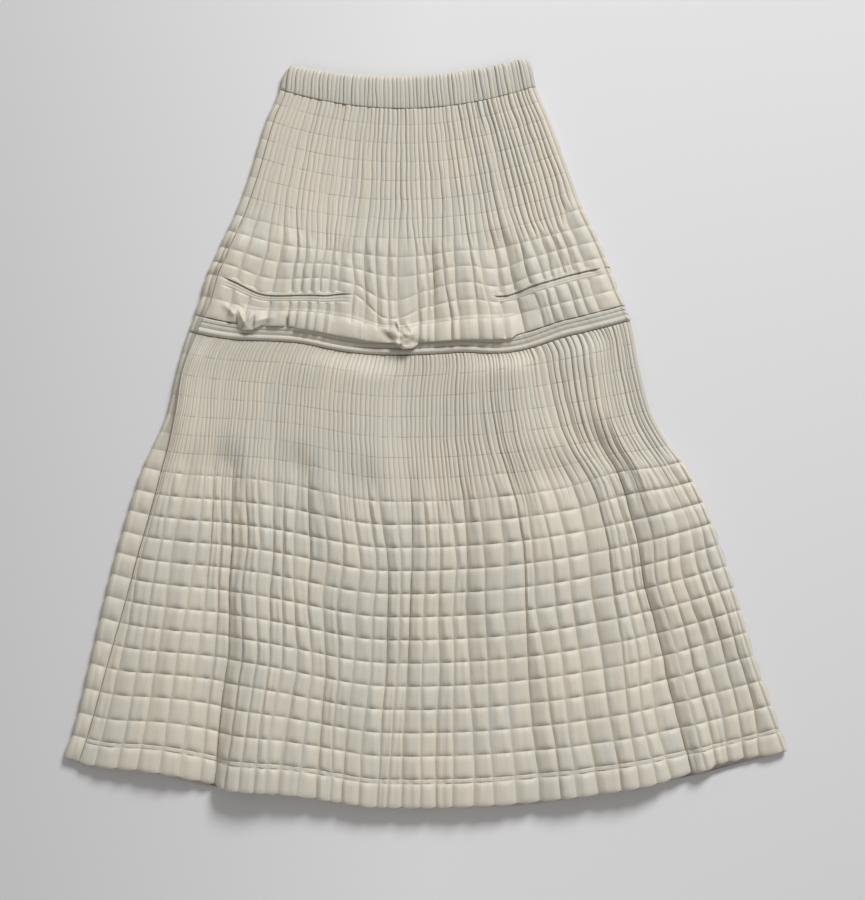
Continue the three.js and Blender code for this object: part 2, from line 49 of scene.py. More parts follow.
# One row for each section of the skirt, at a distance down the centre front from the waist's top edge.
# left and right are where the sides are, and left_y, right_y and middle_y how far towards the waist the
# section lies at each side and in the middle. seam is how far the side seam lies from the left edge, and
# loft how far the front stands clear of the back.
OUTLINE_COLUMNS = ("down", "left", "left_y", "right", "right_y", "middle_y", "seam", "loft")
OUTLINE = np.array(
    [
        # down, left, left_y, right, right_y, middle_y, seam, loft
        (0, -159, 422, 117, 430, 408, 5, 1),
        (4, -162, 418, 119, 426, 404, 5, 1),
        (37.4, -167.5, 392, 126, 396, 370, 6, 1),
        (77, -182, 358, 140.5, 361, 331, 7, 1),
        (143, -202, 293, 164, 298, 265, 8, 2),
        (185, -218, 250, 179, 257, 222, 9, 5),
        (231, -238, 206, 200, 212, 176, 10, 9),
        (278, -255, 158, 218, 167, 129, 11, 10),
        (321, -272, 114, 234, 127, 87, 9, 3),
        (365, -285, 70, 243, 78, 43, 6, 2),
        (414, -296, 22, 256, 25, -6, 9, 3),
        (459, -313, -17, 277, -13, -51, 17, 5),
        (484, -322, -37, 291, -31, -76, 20, 6),
        (508, -330, -60, 303, -51, -100, 22, 6),
        (561, -345, -108, 325, -99, -153, 23, 7),
        (642, -365, -183, 351, -174, -234, 22, 7),
        (722, -383, -261, 374, -252, -314, 18, 8),
        (806, -405, -348, 405, -340, -398, 16, 11),
        (838.4, -415, -374, 414, -366, -430, 17, 12),
    ],
    dtype=[(name, float) for name in OUTLINE_COLUMNS],
)

CORNER = 10  # the round of the waistband's top corners
CORNER_DEPTH = 26  # how far down their round is felt

# Where the sections wander: share across, its half width, distance down, how far that fades, and the lift.
BENDS = [
    (0.17, 0.13, 245, 60, -5),
    (0.26, 0.17, 255, 62, 8),
    (0.47, 0.12, 245, 60, -7),
    (0.45, 0.09, 258, 34, -10),
    (0.63, 0.08, 240, 60, 4),
    (0.74, 0.08, 245, 55, -6),
    (0.91, 0.12, 245, 60, 3),
    (0.03, 0.12, 263, 28, 8),
    (0.36, 0.08, 263, 20, 8),
    (0.27, 0.22, 321, 60, 8),
    (0.35, 0.12, 312, 32, -4),
    (0.735, 0.13, 312, 32, -8),
    (0.88, 0.1, 490, 60, 6),
    (0.23, 0.22, 480, 190, 13),
    (0.23, 0.22, 700, 200, 14),
    (0.13, 0.10, 838, 190, 7),
    (0.32, 0.11, 838, 120, 5),
]


def smooth(x):
    """A soft step from 0 to 1."""
    x = np.clip(x, 0, 1)
    return x * x * (3 - 2 * x)


def bump(x):
    """A soft bump of height 1 between -1 and 1."""
    return np.where(np.abs(x) < 1, (1 - np.clip(x, -1, 1) ** 2) ** 2, 0)


def outline(column, down):
    """One column of OUTLINE, joined by a smooth curve that doesn't overshoot."""
    at, value = OUTLINE["down"], OUTLINE[column]
    span = np.diff(at)
    slope = np.diff(value) / span
    product = slope[:-1] * slope[1:]
    total = np.where(product > 0, slope[:-1] + slope[1:], 1)
    inner = np.where(product > 0, 2 * product / total, 0)
    tangent = np.concatenate([slope[:1], inner, slope[-1:]])
    i = np.clip(np.searchsorted(at, down, side="right") - 1, 0, len(span) - 1)
    t = np.clip((down - at[i]) / span[i], 0, 1)
    ends = value[i] * (1 + 2 * t) * (1 - t) ** 2 + value[i + 1] * t * t * (3 - 2 * t)
    return ends + span[i] * (tangent[i] * t * (1 - t) ** 2 - tangent[i + 1] * t * t * (1 - t))


def section_y(x, down):
    """How far towards the waist a point at x lies, on the section that is a distance down."""
    left, right = outline("left", down), outline("right", down)
    share = (x - left) / (right - left)
    left_y, right_y = outline("left_y", down), outline("right_y", down)
    sag = (outline("middle_y", down) - (left_y + right_y) / 2) * (1 - (2 * share - 1) ** 2)
    bends = 0
    for at, half, level, fade, lift in BENDS:
        bends = bends + lift * bump((share - at) / half) * bump((down - level) / fade)
    corner = np.maximum(left + CORNER - x, x - right + CORNER).clip(0, CORNER) / CORNER
    rounded = CORNER * (1 - np.sqrt(1 - corner**2)) * np.clip(1 - down / CORNER_DEPTH, 0, 1) ** 2
    return left_y + (right_y - left_y) * share + sag + bends - rounded


def drift(count, downs, reach, seed):
    """Smooth wandering values around 0 for each of a number of lines, as they run down the skirt."""
    knots = int(np.ceil((downs.max() - downs.min()) / reach)) + 2
    values = np.random.default_rng(seed).uniform(-1, 1, (knots, count))
    place = (downs - downs.min()) / reach
    i = np.floor(place).astype(int)
    t = smooth(place - i)[:, None]
    return values[i] * (1 - t) + values[i + 1] * t


def rib(t, count, split, power=0.5):
    """A rounded rib for each whole number of t, with sharp grooves beside it. Where split is 1, it is fully
    parted into a count of finer ribs."""
    single = np.abs(np.sin(np.pi * t)) ** power
    return single + (np.abs(np.sin(count * np.pi * t)) ** power - single) * split


def on_line(t):
    """Whether each t is a whole number, which is where the stitching is."""
    return np.abs(t - np.round(t)) < 1e-6


def crown(lines, columns):
    """The front's arch: 0 at the two sides and 1 over the middle."""
    return 1 - np.abs(2 * lines / columns - 1) ** 5


def spread(lines, samples):
    """Positions between each line and the next, with more of them close to the lines."""
    lines = np.asarray(lines, float)
    inside = (lines[:-1, None] + np.diff(lines)[:, None] * samples).ravel()
    return np.append(inside, lines[-1])


def line_places(table, even, downs, wander):
    """Where the upright lines of stitching are. They are evenly spaced down to the distance even, and below
    it they follow the table, which has a list of places across for some distances down."""
    placed = np.array(list(table.values()), float)
    shares = (placed - placed[:, :1]) / (placed[:, -1:] - placed[:, :1])
    shares = np.concatenate([np.linspace(0, 1, placed.shape[1])[None], shares])
    levels = [even, *table]
    near = []
    for step in (-12, 0, 12):
        near.append(np.stack([np.interp(downs + step, levels, share) for share in shares.T], axis=1))
    left = outline("left", downs) + outline("seam", downs) + SEAM_GAP / 2
    right = outline("right", downs) - EDGE_RADIUS
    places = left[:, None] + (right - left)[:, None] * np.mean(near, axis=0)
    places[:, 1:-1] += wander * drift(placed.shape[1] - 2, downs, 16, 7)
    return places


def front_surface(at, downs, places, seam_z, relief):
    """Points of a front panel. at holds positions across, in columns. places and seam_z say where the
    upright lines of stitching are, across and in height, and relief how far the padding stands out."""
    columns = places.shape[1] - 1
    heights = seam_z(np.arange(columns + 1), downs)
    rise = np.diff(heights, axis=1)
    width = np.diff(places, axis=1)
    k = np.minimum(at.astype(int), columns - 1)
    middle = 0.5 + 0.11 * drift(columns, downs, 130, 5)[:, k]
    half = at - k
    u = np.where(half < 0.5, 2 * half * middle, middle + (2 * half - 1) * (1 - middle))
    x = places[:, k] * (1 - u) + places[:, k + 1] * u
    z = heights[:, k] * (1 - u) + heights[:, k + 1] * u
    tilt = np.arctan2(rise, np.maximum(width, 8))[:, k]
    out = relief(at, downs)
    y = section_y(x, downs[:, None])
    return np.stack([x - out * np.sin(tilt), y, z + out * np.cos(tilt)], axis=-1)


def roll_right(edge, downs, out):
    """The side where the front turns down to meet the back, from the panel's last points."""
    middle = EDGE_RADIUS + SEAM_GAP / 2
    base_z = edge[:, 2:3]
    right = (outline("right", downs) - EDGE_RADIUS)[:, None]
    x = right + (EDGE_RADIUS + out) * np.sin(ROLL_ANGLES)
    z = middle + (base_z - middle + out) * np.cos(ROLL_ANGLES)
    y = np.repeat(edge[:, 1:2], len(ROLL_ANGLES), axis=1)
    return np.stack([x, y, z], axis=-1)


def zipped(a, b, key_a, key_b):
    """Triangles between two lines of vertices, stepping to whichever next point comes first by its key."""
    faces, i, j = [], 0, 0
    while i < len(a) - 1 or j < len(b) - 1:
        if j == len(b) - 1 or (i < len(a) - 1 and key_a[i + 1] <= key_b[j + 1]):
            faces.append((a[i], b[j], a[i + 1]))
            i += 1
        else:
            faces.append((a[i], b[j], b[j + 1]))
            j += 1
    return faces


def shell(name, outer, inner, outer_keys, inner_keys, groove_shade, place):
    """A closed wall from the grids of its outer and inner faces. The keys are the places of the grids' rows
    and columns. The groove shade is how much painted shade darkens each outer point, in its grooves and
    along its stitching, and place is its place on the cloth."""
    n, m = outer.shape[:2]
    p, q = inner.shape[:2]
    first = np.arange(n * m).reshape(n, m)
    second = n * m + np.arange(p * q).reshape(p, q)
    facing_out = np.stack([first[:-1, :-1], first[1:, :-1], first[1:, 1:], first[:-1, 1:]], axis=-1)
    facing_in = np.stack([second[:-1, :-1], second[:-1, 1:], second[1:, 1:], second[1:, :-1]], axis=-1)
    quads = np.concatenate([facing_out.reshape(-1, 4), facing_in.reshape(-1, 4)])
    rim = zipped(first[-1], second[-1], outer_keys[1], inner_keys[1])
    rim += [f[::-1] for f in zipped(first[0], second[0], outer_keys[1], inner_keys[1])]
    rim += [f[::-1] for f in zipped(first[:, -1], second[:, -1], outer_keys[0], inner_keys[0])]
    rim += zipped(first[:, 0], second[:, 0], outer_keys[0], inner_keys[0])
    mesh = bpy.data.meshes.new(name)
    points = np.concatenate([outer.reshape(-1, 3), inner.reshape(-1, 3)]) * MM
    mesh.from_pydata(points.tolist(), [], quads.tolist() + [tuple(map(int, f)) for f in rim])
    mesh.polygons.foreach_set("use_smooth", np.ones(len(mesh.polygons), bool))
    # Painted shade, on the outer face only.
    painted_shade = np.zeros(len(points), np.float32)
    painted_shade[: n * m] = groove_shade.ravel()
    mesh.attributes.new("groove_shade", "FLOAT", "POINT").data.foreach_set("value", painted_shade)
    spots = np.zeros((len(points), 3), np.float32)
    spots[: n * m, :2] = place.reshape(-1, 2)
    mesh.attributes.new("place", "FLOAT_VECTOR", "POINT").data.foreach_set("vector", spots.ravel())
    mesh.validate()
    mesh.update()
    piece = bpy.data.objects.new(name, mesh)
    bpy.context.scene.collection.objects.link(piece)
    return piece


def cloth(name, colour, groove_shade_colour, crinkle):
    """Woven nylon: a soft satin sheen, a fine weave, patches and streaks of slightly other tints, and
    puckers that run down from each line of stitching. Painted shade darkens its grooves and stitching
    towards the groove shade colour, as far as each point's groove shade attribute says."""
    material = bpy.data.materials.new(name)
    material.use_nodes = True
    nodes, links = material.node_tree.nodes, material.node_tree.links
    shader = nodes["Principled BSDF"]
    shader.inputs["Sheen Weight"].default_value = 0.15
    shader.inputs["Sheen Roughness"].default_value = 0.4
    shader.inputs["Specular IOR Level"].default_value = 0.35

    place = nodes.new("ShaderNodeAttribute")
    place.attribute_name = "place"
    groove_shade = nodes.new("ShaderNodeAttribute")
    groove_shade.attribute_name = "groove_shade"
    where = nodes.new("ShaderNodeTexCoord")

    patches = nodes.new("ShaderNodeTexNoise")
    patches.inputs["Scale"].default_value = 9
    patches.inputs["Detail"].default_value = 3
    links.new(where.outputs["Object"], patches.inputs["Vector"])
    tint = nodes.new("ShaderNodeValToRGB")
    tint.color_ramp.elements[0].position = 0.4
    tint.color_ramp.elements[0].color = (*[c * k for c, k in zip(colour, (0.93, 0.955, 0.965))], 1)
    tint.color_ramp.elements[1].position = 0.6
    tint.color_ramp.elements[1].color = (*[c * k for c, k in zip(colour, (1.03, 1.008, 0.965))], 1)
    stripes = nodes.new("ShaderNodeTexNoise")
    stripes.inputs["Scale"].default_value = 1
    stripes.inputs["Detail"].default_value = 2
    along = nodes.new("ShaderNodeVectorMath")
    along.operation = "MULTIPLY"
    along.inputs[1].default_value = (0.09, 0.012, 1)
    links.new(place.outputs["Vector"], along.inputs[0])
    links.new(along.outputs["Vector"], stripes.inputs["Vector"])
    both = nodes.new("ShaderNodeMath")
    both.operation = "ADD"
    links.new(patches.outputs["Fac"], both.inputs[0])
    links.new(stripes.outputs["Fac"], both.inputs[1])
    halved = nodes.new("ShaderNodeMath")
    halved.operation = "MULTIPLY"
    halved.inputs[1].default_value = 0.5
    links.new(both.outputs["Value"], halved.inputs[0])
    links.new(halved.outputs["Value"], tint.inputs["Fac"])
    # Painted shade: the groove shade attribute mixes the colour towards the dark groove shade colour in the
    # grooves and along the stitching.
    painted_groove_shade = nodes.new("ShaderNodeMix")
    painted_groove_shade.data_type = "RGBA"
    painted_groove_shade.inputs["B"].default_value = (*groove_shade_colour, 1)
    links.new(groove_shade.outputs["Fac"], painted_groove_shade.inputs["Factor"])
    links.new(tint.outputs["Color"], painted_groove_shade.inputs["A"])
    links.new(painted_groove_shade.outputs["Result"], shader.inputs["Base Color"])

    rough = nodes.new("ShaderNodeMapRange")
    rough.inputs["To Min"].default_value = 0.42
    rough.inputs["To Max"].default_value = 0.6
    links.new(patches.outputs["Fac"], rough.inputs["Value"])
    links.new(rough.outputs["Result"], shader.inputs["Roughness"])

    stretch = nodes.new("ShaderNodeVectorMath")
    stretch.operation = "MULTIPLY"
    stretch.inputs[1].default_value = (0.33, 0.05, 1)
    links.new(place.outputs["Vector"], stretch.inputs[0])
    puckers = nodes.new("ShaderNodeTexNoise")
    puckers.inputs["Scale"].default_value = 1
    puckers.inputs["Detail"].default_value = 2
    puckers.inputs["Distortion"].default_value = 0.4
    links.new(stretch.outputs["Vector"], puckers.inputs["Vector"])
    weave = nodes.new("ShaderNodeTexNoise")
    weave.inputs["Scale"].default_value = 900
    weave.inputs["Detail"].default_value = 1
    links.new(where.outputs["Object"], weave.inputs["Vector"])
    low = nodes.new("ShaderNodeBump")
    low.inputs["Strength"].default_value = 1
    low.inputs["Distance"].default_value = crinkle * MM
    links.new(puckers.outputs["Fac"], low.inputs["Height"])
    fine = nodes.new("ShaderNodeBump")
    fine.inputs["Strength"].default_value = 0.12
    fine.inputs["Distance"].default_value = 0.1 * MM
    links.new(weave.outputs["Fac"], fine.inputs["Height"])
    links.new(low.outputs["Normal"], fine.inputs["Normal"])
    links.new(fine.outputs["Normal"], shader.inputs["Normal"])
    return material


# The colour of the painted shade in the cloth's grooves and along its stitching.
GROOVE_SHADE = (0.33, 0.285, 0.225)
# This is the quilted cloth's colour darkened, as painted shade for the waistband's tight ribs. The edging
# and the waistband's back wear it too.
band_cloth = cloth("waistband_cloth", (0.615, 0.58, 0.515), GROOVE_SHADE, 0.4)

WAIST_SEAM = 37.4
WAIST_RIB = 2.0
YOKE_COLUMNS = 30
CELL = 25  # how wide a column of the quilting is cut, which scales the cloth's grain

# Where the yoke's upright lines of stitching lie below its ribs, for some distances down.
YOKE_PLACES = {
    206: [
        -227, -209, -189, -172, -154, -144, -132, -121, -112, -103, -91, -76, -63, -48, -37, -14, -5,
        5, 16, 31, 49, 60, 79, 92, 109, 121, 134, 144, 156, 168, 187
    ],
    229: [
        -237, -218, -194, -177, -158, -146, -136, -125, -114, -105, -87, -75, -61, -49, -37, -13, -2,
        6, 18, 31, 52, 62, 83, 97, 113, 128, 140, 154, 164, 178, 198
    ],
    252: [
        -244, -224, -204, -183, -160, -149, -138, -127, -116, -106, -87, -74, -60, -47, -37, -13, -1,
        6, 21, 32, 54, 67, 82, 101, 119, 135, 145, 159, 170, 183, 206
    ],
    282: [
        -253, -230, -212, -186, -163, -153, -142, -131, -121, -112, -90, -75, -60, -47, -33, -12, -2,
        6, 26, 35, 56, 72, 87, 107, 129, 140, 151, 167, 179, 191, 215
    ],
}

YOKE_EVEN = 150  # the yoke's lines are evenly spaced down to here

# The waistband's swell over the elastic, for distances down.
WAIST_PROFILE = np.array(
    [(0, -3.4), (0.6, -1.4), (2, 0.3), (5, 1.3), (12, 1.8), (22, 1.8), (31, 1.3), (35.5, 0.7), (37.1, 0.2)]
)
COLUMN_SAMPLES = np.array([0, 0.04, 0.12, 0.25, 0.38, 0.46, 0.5, 0.54, 0.62, 0.75, 0.88, 0.96])


def waist_seam_z(lines, downs):
    """The height of each upright line of the waistband."""
    arch = outline("loft", downs)[:, None] * crown(lines, YOKE_COLUMNS)
    return EDGE_HEIGHT + arch + 0.5 * drift(len(lines), downs, 60, 3)


def waist_relief(at, downs):
    """How far the elastic's swell and the ribs stand out."""
    swell = np.interp(downs, WAIST_PROFILE[:, 0], WAIST_PROFILE[:, 1])[:, None]
    height = WAIST_RIB * (0.75 + 0.6 * drift(2 * YOKE_COLUMNS + 1, downs, 90, 4)[:, (2 * at).astype(int)])
    double = 0.75 + 0.25 * drift(YOKE_COLUMNS + 1, downs, 200, 8)[:, at.astype(int)]
    return swell + height * rib(at, 2, double) * smooth(downs / 3 + 0.4)[:, None]


def plain_inside(at, downs):
    """The inner face: flat, and a wall's thickness in."""
    return np.full((len(downs), len(at)), -WALL)


def front_piece(name, at, downs, surface, table, even, inner_downs, seam_z, groove_shade, side_out):
    """A front panel with its turned side, closed by a plain inner face."""
    columns = len(next(iter(table.values()))) - 1
    lines = np.arange(columns + 1)
    outer = np.concatenate([surface, roll_right(surface[:, -1], downs, side_out)], axis=1)
    places = line_places(table, even, inner_downs, 0)
    plain = front_surface(lines, inner_downs, places, seam_z, plain_inside)
    turned = roll_right(plain[:, -1] + [0, 0, WALL], inner_downs, plain_inside([0], inner_downs))
    inner = np.concatenate([plain, turned], axis=1)
    # Painted shade goes on into the turned side, at three tenths of its strength on the last line.
    marks = np.concatenate([groove_shade, np.repeat(groove_shade[:, -1:] * 0.3, len(ROLL_ANGLES), axis=1)], axis=1)
    roll_keys = columns + ROLL_ANGLES / (np.pi / 2)
    across = np.append(at, roll_keys)
    place = np.stack(np.broadcast_arrays(across[None] * CELL, downs[:, None]), axis=-1)
    inner_keys = (inner_downs, np.append(lines, roll_keys))
    return shell(name, outer, inner, (downs, across), inner_keys, marks, place)


waist_at = spread(np.arange(YOKE_COLUMNS + 1), COLUMN_SAMPLES)
at_top = [0, 0.6, 1.4, 2.6, 4.5, 7, 11]
at_seam = [34.6, 35.8, WAIST_SEAM - SEAM_GAP]
downs = np.concatenate([at_top, np.arange(15, 34, 3), at_seam])
places = line_places(YOKE_PLACES, YOKE_EVEN, downs, 0.7)
surface = front_surface(waist_at, downs, places, waist_seam_z, waist_relief)
# Painted shade in the grooves between the waistband's ribs.
waist_groove_shade = 0.8 * on_line(2 * waist_at) * np.ones((len(downs), 1))
waistband_front = front_piece(
    "waistband_front_cloth",
    waist_at,
    downs,
    surface,
    YOKE_PLACES,
    YOKE_EVEN,
    np.array([0, 12, 25, WAIST_SEAM - SEAM_GAP]),
    waist_seam_z,
    waist_groove_shade,
    np.interp(downs, WAIST_PROFILE[:, 0], WAIST_PROFILE[:, 1])[:, None] * 0.6,
)
waistband_front.data.materials.append(band_cloth)
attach(waistband_front, "root")
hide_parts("waistband_front")

# ---------------------------------------------------------------- upper tier, front
# Nylon quilted to light wadding. Elastic thread in its upper rows of stitching gathers it into ribs, and
# below them it lets out into puffed squares that hang a little over the seam with the lower tier.

YOKE_TOP = WAIST_SEAM + SEAM_GAP / 2
YOKE_LINES = YOKE_TOP + np.concatenate([[0], 18.6 + 21.6 * np.arange(7), 148.2 + 19.3 * np.arange(1, 7)])
BAND_TOP = YOKE_LINES[-1] + SEAM_GAP
YOKE_PUFF = 3.2
STRIP_LIFT = 4.5  # how far the side seam at the wearer's right stands up, over the strip beside it
STRIP_TOP = 190
STRIP_END = 400
LOOSE_FROM = 165  # below here the cloth lets out from its ribs
ROLL_START = 7.5  # the columns between which the last row of squares is one smooth roll
ROLL_END = 13.2
YOKE_RIBS = np.array(
    [
        # column, the line of stitching that its ribs end at, and their height
        (0, 6.4, 1.6),
        (4, 6.8, 1.7),
        (6, 7.8, 1.8),
        (10, 7.6, 2.1),
        (12, 7.0, 2.2),
        (17, 7.2, 2.5),
        (22, 7.6, 3.1),
        (26, 7.6, 3.3),
        (30, 6.9, 2.8),
    ]
)

quilt_cloth = cloth("quilted_cloth", (0.665, 0.62, 0.537), GROOVE_SHADE, 0.32)
ROW_SAMPLES = np.array([0, 0.035, 0.11, 0.22, 0.36, 0.5, 0.64, 0.78, 0.89, 0.965])
RIB_ROW_SAMPLES = np.array([0, 0.03, 0.16, 0.4, 0.6, 0.84, 0.97])
at_crumples = [np.linspace(0.9, 3, 43), np.linspace(13.6, 15.4, 46), np.linspace(21.6, 23.4, 37)]
yoke_at = spread(np.arange(YOKE_COLUMNS + 1), COLUMN_SAMPLES)
yoke_at = np.unique(np.round(np.concatenate([yoke_at, *at_crumples]), 4))

# The slit pockets: a lip above a mouth in painted shade, with a flat welt below it that is stitched twice.
# Their ends are in columns, and the mouth is at a distance down. The welt's rise is given for distances
# below the mouth.
POCKETS = [(0.2, 10.0, 263.1), (21.4, 29.8, 255.2)]
LIP = 2.6
WELT_REACH = 9.5
WELT_STITCHES = (4.6, 7.2)
WELT = np.array(
    [
        (0, -1.8),
        (0.4, -1.6),
        (1.0, 0.6),
        (2.6, 1.3),
        (4.0, 1.3),
        (4.6, 0.9),
        (5.2, 1.3),
        (6.6, 1.5),
        (7.2, 0.9),
        (7.8, 1.7),
    ]
)
near_pockets = [down + np.append([-6, -4, -2, -1, -0.3], WELT[:, 0]) for _, _, down in POCKETS]
downs = np.unique(
    np.concatenate(
        [
            spread(YOKE_LINES[:7], RIB_ROW_SAMPLES)[:-1],
            spread(YOKE_LINES[6:], ROW_SAMPLES),
            np.arange(BAND_TOP - 30, BAND_TOP - 1, 1.2),
            *near_pockets,
        ]
    )
)

PLEAT_COLUMNS = 3.2  # over how many columns a fold's gentle side falls

# The folds that the hip falls into, each along a line of stitching: how far the cloth rises to the next
# line, and where the fold begins and is full, in distance down.
HIP_FOLDS = [
    (3, 2.5, 195, 225),
    (9, 4.0, 185, 215),
    (11, 3.0, 185, 215),
    (15, 1.5, 200, 230),
    (17, 5.0, 185, 215),
    (19, 2.0, 195, 225),
    (23, 6.5, 180, 210),
    (24, 3.0, 230, 270),
    (26, 2.0, 200, 240),
    (28, 2.0, 190, 225),
]


def lean(downs):
    """How far the side seam at the wearer's right stands up. The strip beside it slopes to the side."""
    return STRIP_LIFT * smooth((downs - STRIP_TOP) / 30) * (1 - smooth((downs - STRIP_END) / 80))


def streaks(at, downs, pitch, reach, seed):
    """Smooth wandering values around 0 that also change across, over a pitch given in columns."""
    place = at / pitch
    i = place.astype(int)
    t = smooth(place - i)
    lines = drift(int(at.max() / pitch) + 2, downs, reach, seed)
    return lines[:, i] * (1 - t) + lines[:, i + 1] * t


def dashes(at, downs, seed):
    """How dark the painted shade along a row of stitching is in the ribs, from place to place."""
    return np.clip(0.6 + 0.8 * streaks(at, downs, 0.5, 12, seed), 0, 1)


def pillow(t, power):
    """The rise of padding between two lines of stitching, which are at whole numbers of t."""
    return 1 - np.abs(2 * (t % 1) - 1) ** power


def row_at(stitched, downs):
    """Which row each distance down is in, counted in whole numbers at the rows of stitching."""
    return np.interp(downs, stitched, np.arange(len(stitched)))[:, None]


def pleat(lines, at):
    """A pleat's height: it falls gently towards its own line of stitching and is up again by the next."""
    gentle = np.clip(1 - (at - lines) / PLEAT_COLUMNS, 0, 1) ** 1.4
    steep = np.clip(1 - (lines - at), 0, 1)
    return -np.where(lines <= at, gentle, steep)


# Creases where the padding crumples against the edging: from x and y, to x and y, then width and rise.
CRUMPLES = [
    (-47, 112, -38, 103, 4.0, -5.5),
    (-35, 123, -31, 113, 1.7, -3.5),
    (-31, 113, -22, 107.5, 1.5, -3.0),
    (-32, 97, -19.5, 100.6, 1.7, -3.5),
    (-16, 103, 22, 95, 3.0, -3.5),
    (-31, 110, -16, 110, 3.0, 4.5),
    (-37, 102, -25, 98, 2.5, 4.0),
    (-22, 122, -14, 112, 2.5, 3.0),
    (-158.7, 129, -158, 110, 1.5, -4.0),
    (-217, 132, -216, 113, 1.6, -4.0),
    (-214, 115.6, -205, 126, 1.6, -3.0),
    (-196.6, 131, -198, 116, 1.6, -3.5),
    (-235, 115.6, -218.5, 122, 2.0, -2.5),
    (-230, 145, -217, 131, 3.5, 3.5),
    (-213, 137, -207, 122.5, 2.5, 4.5),
    (-207, 122.5, -199, 133, 2.2, 3.5),
    (-194, 126, -177, 130.5, 3.5, 3.0),
    (81.6, 96, 91, 105, 1.7, 3.0),
    (90, 95, 99, 103, 1.7, 3.0),
    (99, 97, 111.5, 107.5, 2.0, 3.5),
    (86, 96, 94, 104, 1.4, -3.0),
    (94, 95, 105, 104, 1.4, -3.0),
]


def crumple(x, y):
    """How far the creases raise or sink the cloth at a point."""
    rise = 0
    for x0, y0, x1, y1, width, height in CRUMPLES:
        run = np.array([x1 - x0, y1 - y0], float)
        along = np.clip(((x - x0) * run[0] + (y - y0) * run[1]) / run.dot(run), 0, 1)
        away = np.hypot(x - x0 - along * run[0], y - y0 - along * run[1])
        rounded = np.exp(-((away / width) ** 1.5))
        rise = rise + height * rounded * (0.6 + 0.4 * np.sin(np.pi * along))
    return rise


def yoke_seam_z(lines, downs):
    """The height of each upright line of the yoke, with the hip's folds, which die away by the edging."""
    arch = crown(lines, YOKE_COLUMNS)
    loose = smooth((downs - LOOSE_FROM) / 55)[:, None]
    close = smooth((BAND_TOP + 4 - downs) / 26)[:, None]
    folds = 0
    for at, rise, start, full in HIP_FOLDS:
        folds = folds + rise * smooth((downs - start) / (full - start))[:, None] * pleat(lines, at)
    uneven = 0.8 * drift(len(lines), downs, 70, 11) + loose * 1.6 * drift(len(lines), downs, 60, 12)
    side = lean(downs)[:, None] * (1 - smooth(lines / 3))
    return EDGE_HEIGHT + side + outline("loft", downs)[:, None] * arch + (uneven + folds) * close * arch


def yoke_ribbed(at, downs):
    """1 where the elastic thread holds the yoke in ribs, and 0 where it has let out into squares."""
    line = row_at(YOKE_LINES, downs)
    column = np.minimum(at.astype(int), YOKE_COLUMNS - 1)
    end = np.interp(at, YOKE_RIBS[:, 0], YOKE_RIBS[:, 1])
    end = end + 0.35 * drift(YOKE_COLUMNS, downs, 400, 13)[:, column]
    length = 1.4 + 0.6 * drift(YOKE_COLUMNS, downs, 400, 14)[:, column]
    return 1 - smooth((line - end + 0.5) / length)


def yoke_roll(at, downs):
    """Where the last row of squares is pulled into one smooth roll."""
    last_row = smooth((downs - BAND_TOP + 20) / 5)[:, None]
    return smooth((at - ROLL_START) / 2) * (1 - smooth((at - ROLL_END) / 0.5)) * last_row


def yoke_relief(at, downs):
    """How far the yoke's ribs, squares, creases and pockets stand out."""
    line = row_at(YOKE_LINES, downs)
    ribbed = yoke_ribbed(at, downs)
    uneven = 0.85 + 0.5 * drift(2 * YOKE_COLUMNS + 1, downs, 90, 15)[:, (2 * at).astype(int)]
    height = uneven * np.interp(at, YOKE_RIBS[:, 0], YOKE_RIBS[:, 2])
    double = 0.6 + 0.4 * drift(YOKE_COLUMNS + 1, downs, 110, 18)[:, at.astype(int)]
    pinch = 1 - 0.1 * (1 - pillow(line, 12))
    across = pillow(at, 2.8)
    rows = 0.52 + 0.48 * pillow(line, 3.6)
    squares = YOKE_PUFF * (across + (1 - across) * 0.9 * yoke_roll(at, downs)) * rows
    creases = 1.2 * streaks(at, downs, 0.34, 30, 17) * pillow(at, 4) * rows
    out = ribbed * height * rib(at, 2, double) * pinch + (1 - ribbed) * (squares + creases)
    for start, end, mouth in POCKETS:
        below = (downs - mouth)[:, None]
        inside = smooth((at - start) / 0.5) * smooth((end - at) / 0.5)
        lip = np.maximum(out, LIP * smooth((below + 5) / 3))
        out = np.where((below < 0) & (below > -6), out + (lip - out) * inside, out)
        welt = np.interp(below, WELT[:, 0], WELT[:, 1])
        on_welt = inside * smooth((WELT_REACH - below) / 2.5)
        out = np.where(below >= 0, out + (welt - out) * on_welt, out)
    return out


places = line_places(YOKE_PLACES, YOKE_EVEN, downs, 0.7)
surface = front_surface(yoke_at, downs, places, yoke_seam_z, yoke_relief)
ribbed = yoke_ribbed(yoke_at, downs)
strong = np.interp(yoke_at, YOKE_RIBS[:, 0], YOKE_RIBS[:, 2]) / YOKE_RIBS[:, 2].max()
# Painted shade along the rows of stitching, in dashes where the yoke is ribbed, in the grooves between its
# ribs, and along the upright lines of stitching, except over the smooth roll.
rows = 0.42 + (0.85 * dashes(yoke_at, downs, 19) - 0.42) * ribbed
rows = np.where(on_line(row_at(YOKE_LINES, downs)), rows, 0)
ribs = np.where(on_line(2 * yoke_at), (0.1 + 0.75 * strong) * ribbed, 0)
upright = np.where(on_line(yoke_at), 0.3, 0) * (1 - yoke_roll(yoke_at, downs))
yoke_groove_shade = np.maximum(np.maximum(rows, ribs), upright)

